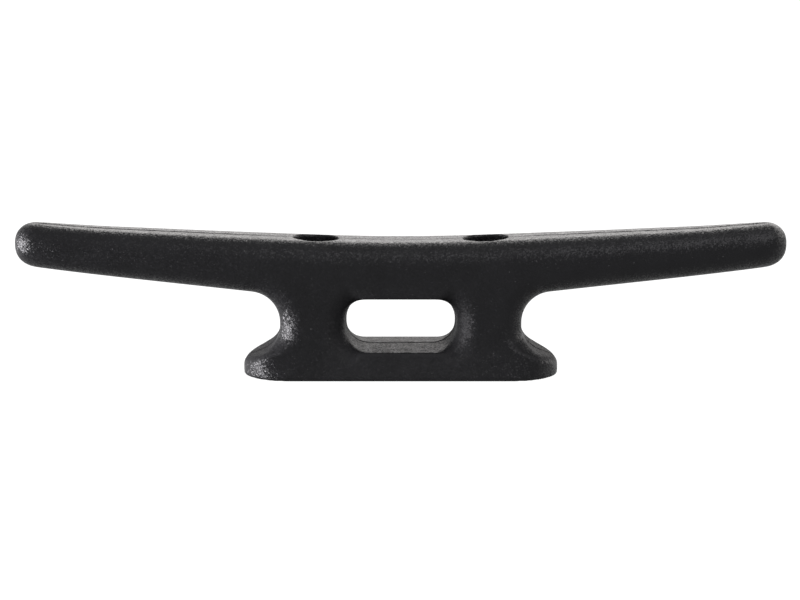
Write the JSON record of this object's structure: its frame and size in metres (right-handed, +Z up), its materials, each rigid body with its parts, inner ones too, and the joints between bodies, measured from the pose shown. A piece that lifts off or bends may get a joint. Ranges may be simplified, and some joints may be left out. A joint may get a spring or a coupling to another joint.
{
  "type": "horn cleat",
  "caption": "Black nylon open-base horn cleat for ropes: two rounded horns on two legs with a rope eye between them, and two countersunk screw holes.",
  "frame": {"origin": "centre of the mounting face, midway between the two screw holes", "axes": "+Z up from the mounting face towards the horns, X along the horns, Y across them"},
  "size_m": [0.165, 0.023, 0.0323],
  "materials": {
    "black_nylon": "fine spark-eroded grain, low sheen"
  },
  "bodies": {
    "root": {"cleat_body": "black_nylon"}
  },
  "joints": []
}
